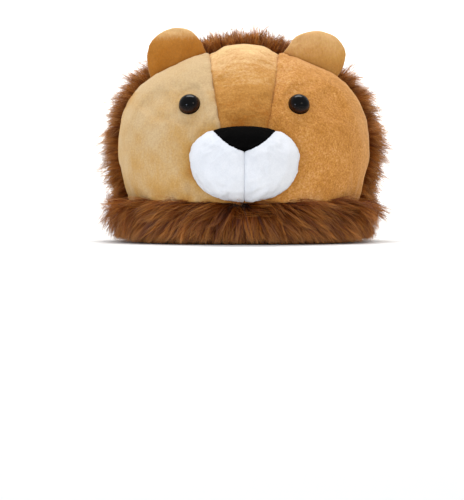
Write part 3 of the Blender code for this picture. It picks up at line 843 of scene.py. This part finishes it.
def acrylicFur(values):
    # Long-pile acrylic fur: darker at the root, sandy at the tip, partly from the dye and partly painted: painted
    # shade among the roots and painted light through the thin tips. It is glossy along each fibre, and a little
    # light shines through. Each strand has its own tone.
    material, tree = newMaterial("long acrylic faux fur")
    along = addNode(tree, "Attribute", output="Fac", attribute_name="along")
    tint = addNode(tree, "Attribute", output="Fac", attribute_name="tint")
    colour = addNode(tree, "ValToRGB", {"Fac": along}, values["stops"])
    inputs = {"Factor": 1.0, 6: colour, 7: linear(values["light"])}
    lighter = addNode(tree, "Mix", inputs, output=2, data_type="RGBA", blend_type="MULTIPLY")
    inputs = {"Factor": 1.0, 6: colour, 7: linear(values["dark"])}
    darker = addNode(tree, "Mix", inputs, output=2, data_type="RGBA", blend_type="MULTIPLY")
    colour = addNode(tree, "Mix", {"Factor": tint, 6: darker, 7: lighter}, output=2, data_type="RGBA")
    gloss = {"Base Color": colour, "Roughness": values["roughness"], "Specular IOR Level": values["specular"]}
    shader = addNode(tree, "BsdfPrincipled", gloss)
    through = addNode(tree, "BsdfTranslucent", {"Color": colour})
    mixed = addNode(tree, "MixShader", {0: values["glow"], 1: shader, 2: through})
    addNode(tree, "OutputMaterial", {"Surface": mixed})
    return material


fur = acrylicFur(furLook)


def nearestOf(points, centres, chunk=4000):  # index of each point's nearest centre
    found = np.empty(len(points), np.int64)
    square = (centres**2).sum(axis=1)
    for start in range(0, len(points), chunk):
        part = points[start : start + chunk]
        found[start : start + chunk] = (square - 2 * part @ centres.T).argmin(axis=1)
    return found


def fibrePaths(rise, facing, lean, lengths, noise, values, rng):
    # Paths from the root, fibres by levels by 3. They start out from the cloth and bend over to lie as combed.
    share = np.linspace(0, 1, values["segments"] + 1)[None, :, None]
    start = unit(facing + values["flat"] * lean + rng.normal(0, noise, facing.shape))
    bend = values["bend"] * lean + rng.normal(0, noise, facing.shape)
    bend[:, 2] -= values["droop"]
    path = start[:, None, :] * share + bend[:, None, :] * share**2
    path /= np.linalg.norm(np.diff(path, axis=1), axis=2).sum(axis=1)[:, None, None]
    if "tipMm" in values:  # where a fibre would reach the table, it is cut to end just above
        drop = np.maximum(-path[:, -1, 2], 0.05)
        room = (rise - rng.uniform(*values["tipMm"], len(rise)) * mm) / drop
        least = values["shortestMm"] * mm
        lengths = np.clip(lengths, least, np.maximum(room, least))
    return path * lengths[:, None, None], lengths


def drawTogether(own, ownLength, leader, leaderLength, apart, pull, share):
    target = leader * (ownLength / leaderLength)[:, None, None] + 0.85 * apart[:, None, :]
    grip = (pull[:, None] * share[None, :] ** 0.8)[:, :, None]
    return own + (target - own) * grip


def growFur(name, roots, facing, lean, values, seed, node=None, keepOut=None):
    # Fibres gather into strands, and strands into locks, more towards their tips.
    rng = np.random.default_rng(seed)
    count = len(roots)
    share = np.linspace(0, 1, values["segments"] + 1)
    strands = rng.choice(count, max(40, count // values["perStrand"]), replace=False)
    locks = rng.choice(len(strands), max(8, len(strands) // values["perLock"]), replace=False)
    strandOf = nearestOf(roots, roots[strands])
    lockOf = nearestOf(roots[strands], roots[strands[locks]])

    lockReach = values["lengthMm"] * mm * (1 + values["uneven"] * np.clip(rng.normal(0, 1, len(locks)), -1.8, 1.8))
    wisp = rng.random(len(strands)) < values["wisps"]
    reach = lockReach[lockOf] * rng.uniform(0.82, 1.12, len(strands))
    reach = np.where(wisp, reach * rng.uniform(*values["wispReach"], len(strands)), reach)
    ownReach = reach[strandOf] * rng.uniform(0.78, 1.04, count)

    chosen = strands[locks]
    lockLean = lean[chosen] + rng.normal(0, values["lockNoise"], (len(locks), 3))
    lockPath, lockReach = fibrePaths(roots[chosen, 2], facing[chosen], lockLean, lockReach, 0.03, values, rng)
    noise = values["strandNoise"]
    path, reach = fibrePaths(roots[strands, 2], facing[strands], lean[strands], reach, noise, values, rng)
    apart = roots[chosen][lockOf] - roots[strands]
    pull = np.where(wisp, 0.3, 1) * values["lockPull"]
    path = drawTogether(path, reach, lockPath[lockOf], lockReach[lockOf], apart, pull, share)

    side = unit(np.cross(path[:, -1], facing[strands] + 0.01))
    other = unit(np.cross(path[:, -1], side))
    phase = rng.uniform(0, 2 * math.pi, len(strands))
    turns = 2 * math.pi * values["waves"] * rng.uniform(0.7, 1.3, len(strands))
    size = values["waveMm"] * mm * np.where(wisp, 1.6, 1)
    for way, quarter, amount in ((side, 0.0, 1.0), (other, math.pi / 2, 0.6)):
        angle = turns[:, None] * share[None, :] + (phase + quarter)[:, None]
        swing = (np.sin(angle) - np.sin(angle[:, :1])) * share[None, :] * size[:, None] * amount
        path += way[:, None, :] * swing[:, :, None]

    noise = values["fibreNoise"]
    own, ownReach = fibrePaths(roots[:, 2], facing, lean, ownReach, noise, values, rng)
    apart = roots[strands][strandOf] - roots
    pull = np.full(count, values["strandPull"])
    own = drawTogether(own, ownReach, path[strandOf], reach[strandOf], apart, pull, share)
    paths = roots[:, None, :] + own
    if keepOut is not None:
        paths = keepOut(paths)
    paths[:, :, 2] = np.maximum(paths[:, :, 2], values["floorMm"] * mm)
    strandTint = 0.5 + values["strandTint"] * rng.normal(0, 1, len(strands))
    strandTint += 0.10 * rng.normal(0, 1, len(locks))[lockOf]
    tint = np.clip(strandTint[strandOf] + rng.normal(0, 0.08, count), 0.02, 0.98)
    writeFur(name, paths, side[strandOf], other[strandOf], tint, values, rng, node)


def writeFur(name, paths, side, other, tint, values, rng, node):
    # Each fibre is a flat tapered ribbon with a pointed tip, turned its own way.
    count, levels, _ = paths.shape
    share = np.linspace(0, 1, levels)
    pairs = levels - 1
    perFibre = 2 * pairs + 1
    roll = rng.uniform(-1, 1, count) * values["roll"]
    across = side * np.cos(roll)[:, None] + other * np.sin(roll)[:, None]
    half = values["widthMm"] * mm / 2 * rng.uniform(0.7, 1.25, count)
    taper = (1 - 0.75 * share[:-1] ** 1.3)[None, :] * half[:, None]
    offset = across[:, None, :] * taper[:, :, None]
    points = np.empty((count, perFibre, 3), np.float32)
    points[:, 0 : 2 * pairs : 2] = paths[:, :-1] - offset
    points[:, 1 : 2 * pairs : 2] = paths[:, :-1] + offset
    points[:, -1] = paths[:, -1]
    quads = [(2 * i, 2 * i + 1, 2 * i + 3, 2 * i + 2) for i in range(pairs - 1)]
    pattern = np.array([corner for quad in quads for corner in quad] + [2 * pairs - 2, 2 * pairs - 1, 2 * pairs])
    corners = (pattern[None, :] + perFibre * np.arange(count)[:, None]).ravel().astype(np.int32)
    sizes = np.tile([4] * (pairs - 1) + [3], count)
    starts = np.concatenate([[0], np.cumsum(sizes)[:-1]]).astype(np.int32)
    mesh = bpy.data.meshes.new(name)
    mesh.vertices.add(count * perFibre)
    mesh.loops.add(len(corners))
    mesh.polygons.add(len(sizes))
    mesh.vertices.foreach_set("co", points.ravel())
    mesh.loops.foreach_set("vertex_index", corners)
    mesh.polygons.foreach_set("loop_start", starts)
    mesh.update(calc_edges=True)
    tints = np.repeat(tint, perFibre)
    # Painted shade: a fade under 1 keeps the tips from reaching the palest colour, so the fur reads darker.
    alongs = np.tile(np.append(np.repeat(share[:-1], 2), 1.0) * values["fade"], count)
    addAttribute(mesh, "tint", tints)
    addAttribute(mesh, "along", alongs)
    # The map that a baked copy uses: the fibre's shade across, its length upwards.
    edge = np.append(np.tile([-0.004, 0.004], pairs), 0.0)
    uv = np.stack([tints + np.tile(edge, count), 0.02 + 0.96 * alongs], axis=1)[corners]
    mesh.uv_layers.new(name="OFBake").data.foreach_set("uv", uv.astype(np.float32).ravel())
    mesh.shade_smooth()
    mesh.validate()
    addPiece(name, mesh, fur, node)
    print(name, count, "fibres", count * (2 * pairs - 1), "triangles")


def rootsOn(corners, area, normals, count, rng):  # evenly spread places on a surface, with their normals
    chosen = rng.choice(len(area), count, p=area / area.sum())
    a, b = rng.random((2, count, 1))
    flip = a + b > 1
    a, b = np.where(flip, 1 - a, a), np.where(flip, 1 - b, b)
    places = corners[chosen, 0] * (1 - a - b) + corners[chosen, 1] * a + corners[chosen, 2] * b
    return places, normals[chosen]


# Mane

mane = {
    "segments": 4,
    "lengthMm": 19.5,
    "perStrand": 8,
    "perLock": 7,
    "uneven": 0.14,
    "wisps": 0.06,
    "wispReach": (1.1, 1.5),
    "flat": 1.0,
    "bend": 0.5,
    "droop": 0.10,
    "lockNoise": 0.20,
    "strandNoise": 0.14,
    "fibreNoise": 0.14,
    "lockPull": 0.5,
    "strandPull": 0.75,
    "waves": 0.6,
    "waveMm": 0.9,
    "strandTint": 0.22,
    "widthMm": 0.5,
    "roll": 1.2,
    "fade": 0.8,
    "floorMm": 0.7,
    "ringDepthMm": 26,
    "liftMm": 2.0,
}
maneWisps = {
    **mane,
    "segments": 6,
    "lengthMm": 27,
    "perStrand": 5,
    "perLock": 4,
    "uneven": 0.18,
    "wisps": 0.25,
    "wispReach": (1.05, 1.4),
    "droop": 0.28,
    "lockNoise": 0.28,
    "strandNoise": 0.2,
    "lockPull": 0.45,
    "strandPull": 0.85,
    "waves": 0.55,
    "waveMm": 2.6,
    "widthMm": 0.4,
    "fade": 1.0,
}
maneBehind = {**mane, "segments": 3, "lengthMm": 27, "widthMm": 0.85, "uneven": 0.1, "waveMm": 1.6, "fade": 0.9}
maneCounts = {"front": 18000, "wisps": 8500, "behind": 50000}


def crownSurface():  # corners, area and normals of the crown's outer triangles
    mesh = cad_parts["crown"].data
    mesh.calc_loop_triangles()
    points, _ = meshArrays(mesh)
    index = np.empty(len(mesh.loop_triangles) * 3, np.int32)
    mesh.loop_triangles.foreach_get("vertices", index)
    corners = points[index.reshape(-1, 3)]
    cross = np.cross(corners[:, 1] - corners[:, 0], corners[:, 2] - corners[:, 0])
    area = np.linalg.norm(cross, axis=1) / 2
    normals = unit(cross)
    keep = np.einsum("ij,ij->i", normals, unit(corners.mean(axis=1) - shellCentre)) > 0.3
    return corners[keep], area[keep], normals[keep]


crownShell = crownSurface()


def maneRoots(count, rng, low, high):  # places on the crown between two distances behind the seam
    corners, area, normals = crownShell
    middle = corners.mean(axis=1)[:, 1]
    near = (middle > low - 20 * mm) & (middle < high + 20 * mm)
    places, facing = rootsOn(corners[near], area[near], normals[near], count * 4, rng)
    inside = (places[:, 1] >= low) & (places[:, 1] < high)
    places, facing = places[inside][:count], facing[inside][:count]
    rounded = unit(places - shellCentre - (0, 0, 20 * mm))
    facing = unit(0.6 * facing + 0.4 * rounded)
    return places + facing * mane["liftMm"] * mm, facing


def maneLean(places):  # out from the face, then back and down over the crown
    back = smoothStep(seamY, seamY + 70 * mm, places[:, 1])
    height = (places[:, 2] - shellBase) / shellRise
    lean = np.zeros_like(places)
    lean[:, 1] = -0.10 + 0.75 * back * smoothStep(0.15, 0.6, height)
    lean[:, 2] = -0.12 - 0.65 * back
    return lean


def clearOfFace(paths):  # fibres stay off the velour
    front = seamY - 2.5 * mm
    ahead = np.minimum(paths[:, :, 1] - front, 0)
    paths[:, :, 1] -= 0.75 * ahead
    return paths


def makeMane():
    rng = np.random.default_rng(21)
    ring = seamY + mane["ringDepthMm"] * mm
    places, facing = maneRoots(maneCounts["front"], rng, seamY, ring)
    growFur("mane_front", places, facing, maneLean(places), mane, 31, "mane", clearOfFace)
    places, facing = maneRoots(maneCounts["wisps"], rng, seamY, ring)
    growFur("mane_wisps", places, facing, maneLean(places), maneWisps, 32, None, clearOfFace)
    places, facing = maneRoots(maneCounts["behind"], rng, ring - 4 * mm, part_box("crown")[1][1])
    for name, way in (("mane_back_left", -1), ("mane_back_right", 1)):
        half = places[:, 0] * way > 0
        growFur(name, places[half], facing[half], maneLean(places[half]), maneBehind, 35 + way)


makeMane()
print("mane")


# Fur band

band = {
    "segments": 4,
    "lengthMm": 37,
    "perStrand": 8,
    "perLock": 7,
    "uneven": 0.12,
    "wisps": 0.10,
    "wispReach": (1.0, 1.25),
    "flat": 1.3,
    "bend": 0.45,
    "droop": 0.08,
    "lockNoise": 0.16,
    "strandNoise": 0.14,
    "fibreNoise": 0.10,
    "lockPull": 0.72,
    "strandPull": 0.8,
    "waves": 0.75,
    "waveMm": 1.9,
    "strandTint": 0.30,
    "widthMm": 0.55,
    "roll": 1.0,
    # painted shade: the band lies in shadow, so its tips stop short of the palest colour
    "fade": 0.72,
    "tipMm": (0.8, 7.0),
    "shortestMm": 3.5,
    "floorMm": 0.7,
    "partingAngle": 6,
    "sideAngle": 62,
    "sweepWidthMm": 108,
    "cornerFromMm": 70,
    "cornerToMm": 102,
    "cornerOut": 0.12,
    "cornerDown": 1.0,
    "stand": 0.42,
    "cornerStand": 0.08,
}
bandBehind = {"segments": 3, "widthMm": 0.85, "lengthMm": 32, "fade": 0.85}
bandCounts = {"front": 27000, "back": 24000}
bandShape = {
    "insetMm": 5,
    "halfWidth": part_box("mane")[1][0] - 22.5 * mm,
    "front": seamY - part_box("face_middle")[0][1],
    "back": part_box("crown")[1][1] - seamY + 4 * mm,
    "openingHalfWidth": 84 * mm,
    "openingFront": 86 * mm,
    "openingBack": 116 * mm,
    "squareness": 2.3,
    "sides": 160,
}
# Side of the band's padding. Columns: share of its height, inset as a share of insetMm.
bandSection = [(0.0, 2.5), (0.05, 2.0), (0.12, 1.3), (0.42, 0.3), (0.71, 0.0), (0.92, 0.2), (1.0, 0.5)]
bandHeight = shellBase - 0.3 * mm


def planPoint(halfWidth, front, back, turns):  # level outline round the head, from +X by way of the back
    power = 2 / bandShape["squareness"]
    cosine, sine = np.cos(turns), np.sin(turns)
    x = np.sign(cosine) * np.abs(cosine) ** power * halfWidth
    y = seamY + np.sign(sine) * np.abs(sine) ** power * np.where(sine > 0, back, front)
    return np.stack([x, y], axis=-1)


def bandEdge(turns, height):  # outer line of the padding at a share of its height
    heights, insets = zip(*bandSection)
    less = bandShape["insetMm"] * mm * (1 + np.interp(height, heights, insets))
    return planPoint(bandShape["halfWidth"] - less, bandShape["front"] - less, bandShape["back"] - less, turns)


def bandOpening(turns, height):
    return planPoint(bandShape["openingHalfWidth"], bandShape["openingFront"], bandShape["openingBack"], turns)


def makeBandPadding():  # a ring drawn up the outside and down the inside, then closed
    bm = bmesh.new()
    turnOf = bm.verts.layers.float.new("turn")
    bmesh.ops.create_circle(bm, segments=bandShape["sides"], radius=1)
    for vert in bm.verts:
        vert[turnOf] = math.atan2(vert.co.y, vert.co.x)
    rows = [(bandEdge, height) for height, _ in bandSection]
    rows += [(bandOpening, height) for height in (1.0, 0.66, 0.33, 0.0)]
    edges = first = bm.edges[:]
    verts = bm.verts[:]
    for i, (line, height) in enumerate(rows):
        if i > 0:
            made = bmesh.ops.extrude_edge_only(bm, edges=edges)["geom"]
            edges = [item for item in made if isinstance(item, bmesh.types.BMEdge)]
            verts = [item for item in made if isinstance(item, bmesh.types.BMVert)]
        for vert in verts:
            x, y = line(np.float64(vert[turnOf]), height)
            vert.co = (x, y, height * bandHeight)
    bmesh.ops.bridge_loops(bm, edges=edges + first)
    obj = addPiece("band_padding", meshFrom(bm, "band_padding"), furBacking, "fur_band")


def bandRoots(count, rng, front):  # places on the front or back of the band, and the way along it
    fine = np.linspace(-math.pi, 0, 2000) if front else np.linspace(0, math.pi, 2000)
    line = bandEdge(fine, 0.5)
    run = np.concatenate([[0], np.cumsum(np.linalg.norm(np.diff(line, axis=0), axis=1))])
    turns = np.interp(rng.uniform(0, run[-1], count), run, fine)
    height = rng.uniform(0.04, 1.0, count)
    step = 0.002
    tangent = bandEdge(turns + step, height) - bandEdge(turns - step, height)
    tangent = unit(np.column_stack([tangent, np.zeros(count)]))
    outward = np.stack([tangent[:, 1], -tangent[:, 0], np.zeros(count)], axis=1)
    places = np.column_stack([bandEdge(turns, height), height * bandHeight])
    return places, outward, tangent, height


def makeBandFur():
    rng = np.random.default_rng(41)
    for name, front, count, changes in (
        ("band_fur_front", True, bandCounts["front"], {}),
        ("band_fur_back", False, bandCounts["back"], bandBehind),
    ):
        places, outward, tangent, height = bandRoots(count, rng, front)
        across = np.abs(places[:, 0]) / mm
        # The fur parts under the muzzle and is combed further outwards the nearer it is to the side.
        angle = band["partingAngle"] + (band["sideAngle"] - band["partingAngle"]) * (
            np.clip(across / band["sweepWidthMm"], 0, 1) ** 0.75
        )
        angle = np.radians(angle if front else angle * 0.35)[:, None]
        away = tangent * np.sign(places[:, 0] * tangent[:, 0])[:, None]
        down = np.array((0.0, 0.0, -1.0))
        lean = away * np.sin(angle) + down * np.cos(angle)
        corner = smoothStep(band["cornerFromMm"], band["cornerToMm"], across)[:, None]
        lean = lean * (1 - corner) + (band["cornerOut"] * outward + band["cornerDown"] * down) * corner
        # It stands off the padding a little more at the sides, and its top rows rise towards the seam.
        stand = band["stand"] + band["cornerStand"] * corner
        facing = outward * stand * (0.55 + 0.45 * smoothStep(0.1, 0.8, height))[:, None]
        facing[:, 2] += 1.5 * smoothStep(0.82, 1.0, height)
        growFur(name, places, facing, lean, {**band, **changes}, 51 + front)


makeBandPadding()
makeBandFur()
print("fur band")
